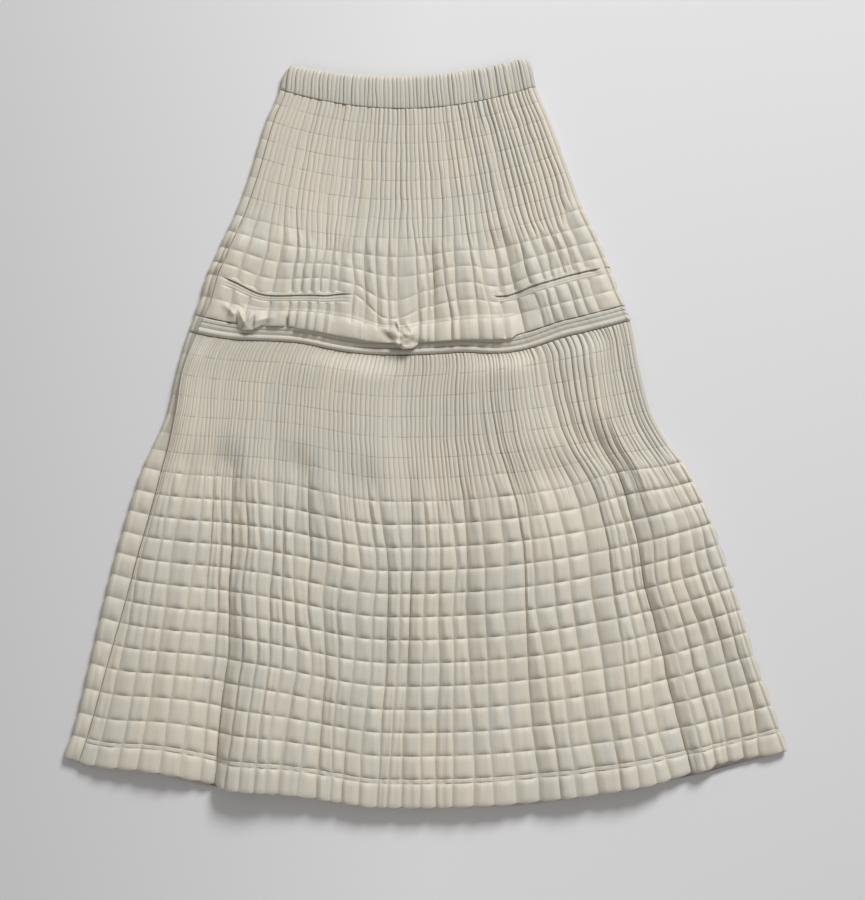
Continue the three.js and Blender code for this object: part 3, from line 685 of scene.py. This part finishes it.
# Just above the seam the padding rolls forward over the edging: how far, for shares of the width.
HANG = np.array(
    [
        (0, 0),
        (0.068, 0),
        (0.088, 1.15),
        (0.112, 1.05),
        (0.135, 0.5),
        (0.21, 0.5),
        (0.22, 0.7),
        (0.36, 0.7),
        (0.43, 0.9),
        (0.455, 0.9),
        (0.475, 1.5),
        (0.5, 1.45),
        (0.52, 0.85),
        (0.7, 0.85),
        (0.74, 0.9),
        (0.765, 0),
        (1, 0),
    ]
)
HANG_DEPTH = 22
HANG_REACH = 12
HANG_RISE = 4.5
near = np.clip((downs - (BAND_TOP - HANG_DEPTH)) / HANG_DEPTH, 0, 1)[:, None]
share = (surface[-1:, :, 0] - surface[-1, 0, 0]) / (surface[-1, -1, 0] - surface[-1, 0, 0])
hang = np.interp(share, HANG[:, 0], HANG[:, 1])
surface[..., 1] -= hang * HANG_REACH * np.sin(np.pi * near**1.6)
dents = crumple(surface[..., 0], surface[..., 1])
surface[..., 2] += hang * HANG_RISE * np.sin(np.pi * near) ** 0.8 + dents
# Painted shade in the dents of the creases, darker in the deeper dents.
yoke_groove_shade = np.maximum(yoke_groove_shade, np.clip(-dents / 5, 0, 0.6))
# Painted shade in each pocket's mouth, and fainter along the welt's two lines of stitching.
for start, end, mouth in POCKETS:
    below = (downs - mouth)[:, None]
    on_slit = (below > -0.01) & (below < 0.5)
    on_stitch = np.isin(np.round(below, 1), WELT_STITCHES)
    ends = smooth((yoke_at - start) / 0.3) * smooth((end - yoke_at) / 0.3)
    yoke_groove_shade = np.maximum(yoke_groove_shade, np.where(on_slit, 0.75, np.where(on_stitch, 0.2, 0)) * ends)
upper_front = front_piece(
    "upper_front_cloth",
    yoke_at,
    downs,
    surface,
    YOKE_PLACES,
    YOKE_EVEN,
    YOKE_LINES,
    yoke_seam_z,
    yoke_groove_shade,
    yoke_relief(np.array([YOKE_COLUMNS - 0.5]), downs) * 0.6,
)
upper_front.data.materials.append(quilt_cloth)
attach(upper_front, "root")
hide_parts("upper_front", "pocket_welt_right", "pocket_welt_left")

# ---------------------------------------------------------------- edging between the tiers, front
# A folded strip of the plain nylon, sewn over the seam between the tiers along both of its edges. It is a
# flat band with a line of stitching, and below it a ridge filled with cord.

TIER_COLUMNS = 41

# Where the lower tier's upright lines of stitching lie below its ribs, for some distances down.
TIER_PLACES = {
    325: [
        -278, -271, -264, -256, -246, -234, -222, -210, -196, -182, -168, -154, -141, -128, -114, -99,
        -83, -67, -51, -35, -19, -3, 11, 25, 38, 51, 63, 75, 87, 100, 113, 126, 141, 156, 171, 186,
        200, 209, 217, 225, 233, 241
    ],
    494: [
        -306, -302, -291, -274, -256, -245, -236, -224, -208, -194, -176, -163, -148, -136, -118, -99,
        -83, -65, -53, -33, -15, -1, 14, 29, 45, 62, 85, 105, 116, 132, 150, 174, 194, 205, 214, 225,
        240, 252, 263, 275, 285, 296
    ],
    561: [
        -322, -319, -302, -289, -261, -246, -235, -222, -203, -190, -174, -164, -152, -132, -112, -94,
        -75, -56, -43, -29, -17, 0, 16, 35, 47, 67, 89, 112, 122, 144, 162, 185, 209, 221, 232, 241,
        259, 274, 288, 301, 312, 320
    ],
    614: [
        -336, -332, -312, -295, -269, -251, -238, -225, -211, -194, -178, -164, -150, -135, -117,
        -101, -78, -59, -42, -28, -16, -1, 16, 33, 48, 70, 91, 117, 128, 151, 170, 193, 218, 231, 243,
        254, 266, 282, 296, 315, 329, 343
    ],
    693: [
        -360, -348, -328, -308, -285, -262, -243, -227, -210, -193, -179, -164, -147, -130, -114, -99,
        -83, -63, -45, -32, -20, -3, 18, 34, 53, 74, 97, 121, 141, 161, 182, 207, 231, 248, 263, 276,
        292, 307, 324, 343, 358, 368
    ],
    773: [
        -382, -367, -342, -321, -296, -274, -253, -237, -221, -205, -190, -178, -160, -138, -120,
        -106, -90, -72, -50, -38, -24, -3, 14, 35, 59, 78, 103, 129, 153, 170, 192, 220, 240, 255,
        271, 297, 314, 330, 347, 366, 385, 398
    ],
    838: [
        -397, -379, -353, -330, -304, -282, -258, -240, -229, -213, -195, -182, -168, -146, -124,
        -107, -95, -75, -54, -43, -26, -4, 14, 33, 57, 81, 108, 134, 158, 176, 201, 228, 248, 269,
        285, 310, 325, 337, 351, 369, 386, 415
    ],
}
TIER_EVEN = 300  # the lower tier's lines are evenly spaced down to here
BAND_DEPTH = 19.2  # from the upper tier to the lower one
BAND_STRIP = 18.6  # the strip itself, between its seams
BAND_STITCH = 5.2
BAND_FOLD = 10.8  # where the ridge begins

# The strip's rise, for distances down it.
BAND_PROFILE = np.array(
    [
        (0, -0.5),
        (0.8, 1.0),
        (2, 1.4),
        (4.4, 1.3),
        (BAND_STITCH, 0.3),
        (6, 1.1),
        (8.4, 1.3),
        (9.6, 0.9),
        (BAND_FOLD, 0.3),
        (11.8, 1.9),
        (13.2, 3.1),
        (15, 3.4),
        (16.8, 2.6),
        (18, 0.9),
        (BAND_STRIP, 0),
    ]
)
BAND_STEPS = 6  # points across each column
band_at = np.linspace(0, TIER_COLUMNS, TIER_COLUMNS * BAND_STEPS + 1)
downs = BAND_TOP + SEAM_GAP / 2 + np.unique(np.append(np.linspace(0, BAND_STRIP, 25), BAND_PROFILE[:, 0]))


def band_seam_z(lines, downs):
    """The height of each upright line where it passes under the strip."""
    side = lean(downs)[:, None] * (1 - smooth(lines / 4))
    arch = outline("loft", downs)[:, None] * crown(lines, TIER_COLUMNS)
    return EDGE_HEIGHT + side + arch + 0.5 * drift(len(lines), downs, 60, 21)


def band_relief(at, downs):
    """The strip's rise, which wavers a little along its length."""
    profile = np.interp(downs - BAND_TOP - SEAM_GAP / 2, BAND_PROFILE[:, 0], BAND_PROFILE[:, 1])[:, None]
    return profile + 0.25 * drift(8 * TIER_COLUMNS, downs, 30, 22)[:, (at * BAND_STEPS).astype(int)]


places = line_places(TIER_PLACES, TIER_EVEN, downs, 0)
surface = front_surface(band_at, downs, places, band_seam_z, band_relief)
depth = downs - BAND_TOP - SEAM_GAP / 2
# Painted shade along the ridge's fold and the strip's lower seam, and fainter along its stitching.
deep = np.isin(depth.round(1), (BAND_FOLD, BAND_STRIP))
band_groove_shade = np.where(deep, 0.8, np.where(depth.round(1) == BAND_STITCH, 0.45, 0))
band_groove_shade = band_groove_shade[:, None] * np.ones((1, len(band_at)))
band_front = front_piece(
    "tier_band_front_cloth",
    band_at,
    downs,
    surface,
    TIER_PLACES,
    TIER_EVEN,
    downs[[0, -1]],
    band_seam_z,
    band_groove_shade,
    np.interp(depth, BAND_PROFILE[:, 0], BAND_PROFILE[:, 1])[:, None] * 0.6,
)
band_front.data.materials.append(band_cloth)
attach(band_front, "root")
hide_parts("tier_band_front")

# ---------------------------------------------------------------- lower tier, front
# The same quilted nylon, gathered by elastic thread over its top rows and free below them, where the
# squares keep falling into folds that start from the gathers. The hem is turned up and stitched twice.

TIER_TOP = BAND_TOP + BAND_DEPTH
SHIRR_ROW = 23.4
SQUARE_ROW = 26.5
SHIRR_END = TIER_TOP + 6 * SHIRR_ROW
HEM_STITCH = SHIRR_END + 13 * SQUARE_ROW
HEM_TWIN = 5
HEM_END = 838.4
TIER_PUFF = 3.6
LEAST_HEIGHT = 5.5  # the front lies no lower than this, on the back
FLARE_COLUMN = 35.6  # the flare on the right begins here, and lies between two distances down
FLARE_TOP = 455
FLARE_END = 560
COARSE = 31  # from this column on there are two ribs to a column, and three before it
# The height of the ribs, for some columns.
TIER_RIBS = np.array([(0, 1.2), (14, 1.4), (24, 1.8), (30.9, 2.1), (31.1, 2.2), (36, 2.9), (41, 2.2)])
THIRD_SAMPLES = np.array([0, 0.04, 0.167, 0.293, 1 / 3, 0.373, 0.5, 0.627, 2 / 3, 0.707, 0.833, 0.96])
TIER_LINES = np.concatenate(
    [
        TIER_TOP + SHIRR_ROW * np.arange(6),
        SHIRR_END + SQUARE_ROW * np.arange(14),
        [HEM_STITCH + HEM_TWIN, HEM_END],
    ]
)
TIER_LINES[0] += SEAM_GAP / 2

# The folds, each along a line of stitching: how far the cloth rises to the next line, as a share of
# FOLD_DEPTH, and where the fold begins, is full and has gone, in distance down.
FOLD_DEPTH = 1.15
TIER_FOLDS = [
    (3, 2.0, 430, 480, 620),
    (5, 2.5, 430, 480, 700),
    (6, 4.5, 420, 500, 700),
    (7, 12.0, 430, 520, 1000),
    (8, 2.5, 660, 740, 1000),
    (12, 3.5, 430, 470, 560),
    (13, 4.5, 430, 480, 640),
    (16, 4.0, 700, 780, 1000),
    (17, 4.0, 430, 480, 620),
    (18, 5.0, 430, 500, 760),
    (20, 5.5, 430, 500, 760),
    (22, 3.5, 560, 620, 1000),
    (24, 5.5, 430, 520, 740),
    (27, 4.0, 640, 720, 1000),
    (28, 5.0, 430, 500, 660),
    (30, 3.5, 430, 480, 580),
    (31, 6.5, 420, 480, 760),
    (32, 4.5, 430, 480, 700),
    (35, 11.0, 400, 470, 1000),
    (36, 5.5, 400, 460, 640),
    (37, 3.5, 640, 740, 1000),
    (38, 3.5, 640, 700, 1000),
    (39, 4.0, 640, 700, 1000),
    (40, 4.0, 680, 740, 1000),
]

DEEP_FOLDS = (7, 35, 37, 38, 39, 40)  # the lines whose folds draw the hem up

# Where the front swells: the middle and half width, in columns, the rise, and where it begins and is full.
TIER_SWELLS = [(9.5, 4.5, 7.0, 520, 800), (34, 3.5, 3.5, 560, 760)]

# Broad waves across the gathers: the line where each is highest, its rise, and over how many columns it
# climbs from the left and falls on the right.
TIER_WAVES = [(1.4, 5.0, 3.0, 3.0), (17.2, 9.5, 8.5, 3.2), (29.4, 9.0, 7.5, 2.8), (35.6, 6.0, 4.2, 3.0)]


def tier_seam_z(lines, downs):
    """The height of each upright line of the lower tier, with its swells, waves and folds."""
    arch = crown(lines, TIER_COLUMNS)
    z = EDGE_HEIGHT + lean(downs)[:, None] * (1 - smooth(lines / 4))
    z = z + outline("loft", downs)[:, None] * arch
    for at, half, rise, start, full in TIER_SWELLS:
        z = z + rise * smooth((downs - start) / (full - start))[:, None] * bump((lines - at) / half)
    wavy = smooth((downs - TIER_TOP) / 30) * (1 - smooth((downs - SHIRR_END) / 220))
    for at, rise, climb, fall in TIER_WAVES:
        away = np.where(lines < at, (at - lines) / climb, (lines - at) / fall)
        z = z + rise * wavy[:, None] * smooth(1 - away)
    for at, rise, start, full, gone in TIER_FOLDS:
        strength = smooth((downs - start) / (full - start)) * smooth((gone - downs) / 110)
        z = z + FOLD_DEPTH * rise * strength[:, None] * pleat(lines, at)
    loose = smooth((downs - SHIRR_END + 30) / 80)[:, None]
    z = z + (0.7 + 1.6 * loose) * drift(len(lines), downs, 230, 31) * arch
    return np.maximum(z, LEAST_HEIGHT)


def tier_ribbed(at, downs):
    """1 where the elastic thread holds the tier in ribs, and 0 where it has let out into squares."""
    column = np.minimum(at.astype(int), TIER_COLUMNS - 1)
    start = SHIRR_END - 12 + 7 * drift(TIER_COLUMNS, downs, 2000, 33)[:, column]
    length = 75 + 30 * drift(TIER_COLUMNS, downs, 2000, 34)[:, column]
    return 1 - smooth((downs[:, None] - start) / length)


def tier_plain(at, downs):
    """Where the flare on the right is pulled smooth, so that its upright stitching hardly shows."""
    level = smooth((downs - FLARE_TOP) / 15) * (1 - smooth((downs - FLARE_END) / 40))
    return smooth((at - FLARE_COLUMN) / 0.8) * level[:, None]


def tier_relief(at, downs):
    """How far the lower tier's ribs, squares and creases stand out."""
    line = row_at(TIER_LINES, downs)
    ribbed = tier_ribbed(at, downs)
    uneven = 0.9 + 0.5 * drift(3 * TIER_COLUMNS + 1, downs, 90, 35)[:, (3 * at).astype(int)]
    height = uneven * np.interp(at, TIER_RIBS[:, 0], TIER_RIBS[:, 1])
    split = 0.8 + 0.2 * drift(TIER_COLUMNS + 1, downs, 110, 37)[:, at.astype(int)]
    pinch = 1 - 0.1 * (1 - pillow(line, 12))
    between = (downs > HEM_STITCH) & (downs < HEM_STITCH + HEM_TWIN)
    flat = np.where(between, 0.35, 1)[:, None] * np.where(at < 1, 0.5, 1)
    flat = flat * (0.6 + 0.4 * smooth((downs - SHIRR_END) / 50))[:, None]
    across = pillow(at, 3.5)
    rows = 0.2 + 0.8 * pillow(line, 6)
    squares = TIER_PUFF * (across + (1 - across) * 0.85 * tier_plain(at, downs)) * rows * flat
    fresh = 1.4 - 0.7 * smooth((downs - SHIRR_END - 25) / 60)[:, None]
    creases = 1.7 * fresh * streaks(at, downs, 0.3, 45, 36) * pillow(at, 4) * pillow(line, 8)
    ribs = np.where(at < COARSE, rib(at, 3, split), rib(at, 2, split))
    return ribbed * height * ribs * pinch + (1 - ribbed) * (squares + creases)


fine_at = spread(np.arange(COARSE + 1), THIRD_SAMPLES)
coarse_at = spread(np.arange(COARSE, TIER_COLUMNS + 1), COLUMN_SAMPLES)
tier_at = np.append(fine_at[:-1], coarse_at)
downs = np.concatenate([spread(TIER_LINES[:7], RIB_ROW_SAMPLES)[:-1], spread(TIER_LINES[6:], ROW_SAMPLES)])
places = line_places(TIER_PLACES, TIER_EVEN, downs, 0.5)
surface = front_surface(tier_at, downs, places, tier_seam_z, tier_relief)

# The hem's edge is drawn up a little by the deep folds, and each square pushes it out a little.
HEM_REACH = 34
at_hem = smooth((downs - HEM_END + HEM_REACH) / HEM_REACH)[:, None]
troughs = -sum(pleat(tier_at, line) for line in DEEP_FOLDS)
surface[..., 1] += at_hem * (3.5 * troughs - 2.2 * pillow(tier_at, 2))

ribbed = tier_ribbed(tier_at, downs)
strong = np.interp(tier_at, TIER_RIBS[:, 0], TIER_RIBS[:, 1]) / TIER_RIBS[:, 1].max()
# Painted shade along the rows of stitching, in dashes where the tier is ribbed, in the grooves between its
# ribs, and fainter along the upright lines of stitching, except over the smooth flare.
rows = 0.6 + (0.85 * dashes(tier_at, downs, 38) - 0.6) * ribbed
rows = np.where(on_line(row_at(TIER_LINES, downs)), rows, 0)
ribs = np.where(on_line(np.where(tier_at < COARSE, 3, 2) * tier_at), (0.4 + 0.55 * strong) * ribbed, 0)
upright = np.where(on_line(tier_at), 0.26, 0) * (1 - tier_plain(tier_at, downs))
tier_groove_shade = np.maximum(np.maximum(rows, ribs), upright)
lower_front = front_piece(
    "lower_front_cloth",
    tier_at,
    downs,
    surface,
    TIER_PLACES,
    TIER_EVEN,
    TIER_LINES,
    tier_seam_z,
    tier_groove_shade,
    tier_relief(np.array([TIER_COLUMNS - 0.25]), downs) * 0.6,
)
lower_front.data.materials.append(quilt_cloth)
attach(lower_front, "root")
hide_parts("lower_front")

# ---------------------------------------------------------------- backs
# The back halves of the waistband, of both tiers and of the edging, cut from the same cloths as the
# fronts. Each lies flat under its front and is sewn to it at the sides. At the wearer's right it wraps
# round the side, up to the side seam on the front.

BACK_ROLL = np.radians([90, 75, 60, 45, 30, 15, 0])
BACK_SAMPLES = np.array([0, 0.1, 0.3, 0.5, 0.7, 0.9])
BACK_CELL = 20  # how wide a column of the back is, which scales the cloth's grain
WRAP_TURN = np.linspace(0, np.pi, 13)
STRIP_SAMPLES = np.array([0.05, 0.15, 0.3, 0.5, 0.7, 0.85, 0.95, 1.0])
HEM_DIP = 5  # the back's hem shows below the front's in two places


def back_face(downs, columns, puff, row, inset):
    """One face of a back panel, from the seam at the wearer's left, under the skirt, round the side at the
    wearer's right and along the strip on the front. puff is the rise of its quilting, and inset how far in
    the face lies."""
    left, right = outline("left", downs)[:, None], outline("right", downs)[:, None]
    seam = left + outline("seam", downs)[:, None] - SEAM_GAP / 2
    reach = EDGE_RADIUS - inset
    out = puff * row
    fall = (EDGE_RADIUS - SEAM_GAP / 2 - inset) * (1 - np.cos(BACK_ROLL))
    roll_x = right - EDGE_RADIUS + (reach + 0.6 * out) * np.sin(BACK_ROLL)
    roll_z = np.broadcast_to(inset + fall, roll_x.shape)
    flat = spread(np.linspace(0, 1, columns + 1), BACK_SAMPLES)[1:-1]
    flat_x = right - EDGE_RADIUS + (left + EDGE_RADIUS - right + EDGE_RADIUS) * flat
    flat_z = inset + puff * (1 - pillow(flat * columns, 2.6) * row) * 0.35
    wrap_x = left + EDGE_RADIUS - (reach + 0.5 * out * np.sin(WRAP_TURN)) * np.sin(WRAP_TURN)
    wrap_z = EDGE_RADIUS - reach * np.cos(WRAP_TURN) + out * np.clip(-np.cos(WRAP_TURN), 0, 1) * 0.8
    t = STRIP_SAMPLES
    strip_x = left + EDGE_RADIUS + (seam - left - EDGE_RADIUS) * t
    crinkled = out * (1 + 0.45 * streaks(8 * t, downs, 1, 12, 41))
    puffed = np.maximum(0.8 * (1 - t) ** 2, pillow(t * 0.999, 2.6)) * (t < 1)
    strip_z = EDGE_HEIGHT - inset + crinkled * puffed + lean(downs)[:, None] * t
    x = np.concatenate([roll_x, flat_x, wrap_x, strip_x], axis=1)
    z = np.concatenate([roll_z, flat_z, wrap_z, strip_z], axis=1)
    share = (x - left) / (right - left)
    longer = HEM_DIP * bump((share - 0.16) / 0.09) + HEM_DIP * bump((share - 0.64) / 0.14)
    y = section_y(x, downs[:, None]) - longer * smooth((downs[:, None] - HEM_END + 60) / 60)
    return np.stack([x, y, z], axis=-1)


def back_piece(name, downs, columns, puff, stitched, node, material):
    """A back panel, with rows of stitching at the distances stitched, dressed in its cloth."""
    row = pillow(row_at(stitched, downs), 2.6)
    outer = back_face(downs, columns, puff[:, None], row, 0)
    inner = back_face(downs, columns, np.zeros((len(downs), 1)), row, WALL)
    keys = np.arange(outer.shape[1])
    # Painted shade: on the strip beside the side seam, darker the more the strip leans away from the
    # window, and along the side seam and the rows of stitching.
    marks = np.zeros(outer.shape[:2])
    marks[:, -len(STRIP_SAMPLES) :] = 0.4 * lean(downs)[:, None] / STRIP_LIFT
    marks[:, -1] = 0.7
    marks[row[:, 0] < 1e-6] = 0.5
    grain = (keys * BACK_CELL / len(BACK_SAMPLES))[None]
    place = np.stack(np.broadcast_arrays(grain, downs[:, None]), axis=-1)
    piece = shell(name, outer, inner, (downs, keys), (downs, keys), marks, place)
    piece.data.materials.append(material)
    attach(piece, "root")
    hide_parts(node)


downs = np.linspace(0, WAIST_SEAM - SEAM_GAP, 9)
back_piece(
    "waistband_back_cloth",
    downs,
    columns=14,
    puff=np.full(9, 0.8),
    stitched=np.array([0, WAIST_SEAM]),
    node="waistband_back",
    material=band_cloth,
)

downs = spread(YOKE_LINES, ROW_SAMPLES)
back_piece(
    "upper_back_cloth",
    downs,
    columns=28,
    puff=1 + 2.2 * smooth((downs - LOOSE_FROM) / 50),
    stitched=YOKE_LINES,
    node="upper_back",
    material=quilt_cloth,
)

downs = BAND_TOP + SEAM_GAP / 2 + np.linspace(0, BAND_STRIP, 7)
back_piece(
    "tier_band_back_cloth",
    downs,
    columns=14,
    puff=np.full(7, 0.8),
    stitched=downs[[0, -1]],
    node="tier_band_back",
    material=band_cloth,
)

back_lines = np.delete(TIER_LINES, -2)  # the hem's second line of stitching doesn't pucker the back
downs = spread(back_lines, ROW_SAMPLES)
back_piece(
    "lower_back_cloth",
    downs,
    columns=36,
    puff=1 + 2.2 * smooth((downs - SHIRR_END + 10) / 50),
    stitched=back_lines,
    node="lower_back",
    material=quilt_cloth,
)

# ---------------------------------------------------------------- surface and light
# A smooth, pale, painted surface. Its colour holds a painted light falloff: brightest under the middle and
# darker towards its sides, most on the side away from the window. A broad window lights it softly from
# beyond the waist, on the wearer's left, and the room fills the shade.

SURFACE_DROP = 0.0004  # metres that the surface lies below the cloth
bpy.ops.mesh.primitive_plane_add(size=12, location=(0, 0, -SURFACE_DROP))
floor = bpy.context.object
floor.name = "floor"
floor_paint_and_falloff = bpy.data.materials.new("floor_paint_with_painted_falloff")
floor_paint_and_falloff.use_nodes = True
nodes, links = floor_paint_and_falloff.node_tree.nodes, floor_paint_and_falloff.node_tree.links
where = nodes.new("ShaderNodeTexCoord")
split = nodes.new("ShaderNodeSeparateXYZ")
links.new(where.outputs["Object"], split.inputs["Vector"])
share = nodes.new("ShaderNodeMapRange")
share.inputs["From Min"].default_value = -0.5
share.inputs["From Max"].default_value = 0.5
links.new(split.outputs["X"], share.inputs["Value"])
# Painted light falloff: the colour is lightest in the middle and darker towards both sides, most on the
# side away from the window.
shade = nodes.new("ShaderNodeValToRGB")
shade.color_ramp.elements[0].color = (0.67, 0.665, 0.675, 1)
shade.color_ramp.elements[1].color = (0.765, 0.76, 0.765, 1)
middle = shade.color_ramp.elements.new(0.5)
middle.color = (0.825, 0.82, 0.83, 1)
links.new(share.outputs["Result"], shade.inputs["Fac"])
links.new(shade.outputs["Color"], nodes["Principled BSDF"].inputs["Base Color"])
nodes["Principled BSDF"].inputs["Roughness"].default_value = 0.7
floor.data.materials.append(floor_paint_and_falloff)


def soft_light(name, place, size, power, colour):
    """A round soft light at a place, turned to the middle of the skirt."""
    light = bpy.data.lights.new(name, "AREA")
    light.shape = "DISK"
    light.size = size
    light.energy = power
    light.color = colour
    lamp = bpy.data.objects.new(name, light)
    lamp.location = place
    lamp.rotation_euler = (-Vector(place)).to_track_quat("-Z", "Y").to_euler()
    bpy.context.scene.collection.objects.link(lamp)


soft_light("window", (2.3, 4.05, 3.3), 1.95, 292, (0.975, 0.985, 1.0))
soft_light("room", (-1.6, -1.6, 2.2), 2.5, 7, (1.0, 0.94, 0.87))

world = bpy.data.worlds.new("room_light")
bpy.context.scene.world = world
world.use_nodes = True
world.node_tree.nodes["Background"].inputs["Color"].default_value = (1.0, 0.985, 0.965, 1)
world.node_tree.nodes["Background"].inputs["Strength"].default_value = 0.3

# ---------------------------------------------------------------- camera
# It looks straight down from above the middle of the skirt, from so far up that the skirt's turned sides
# hardly show. Its lens takes in VIEW_WIDTH metres of the surface.

VIEW_WIDTH = 0.995
CAMERA_HEIGHT = 3.0
SENSOR = 36
camera_data = bpy.data.cameras.new("camera")
camera = bpy.data.objects.new("camera", camera_data)
bpy.context.scene.collection.objects.link(camera)
camera.location = (0.0075, -0.0213, CAMERA_HEIGHT)
camera_data.sensor_fit = "HORIZONTAL"
camera_data.sensor_width = SENSOR
camera_data.lens = SENSOR * CAMERA_HEIGHT / VIEW_WIDTH
bpy.context.scene.camera = camera
bpy.context.scene.view_settings.view_transform = "Standard"
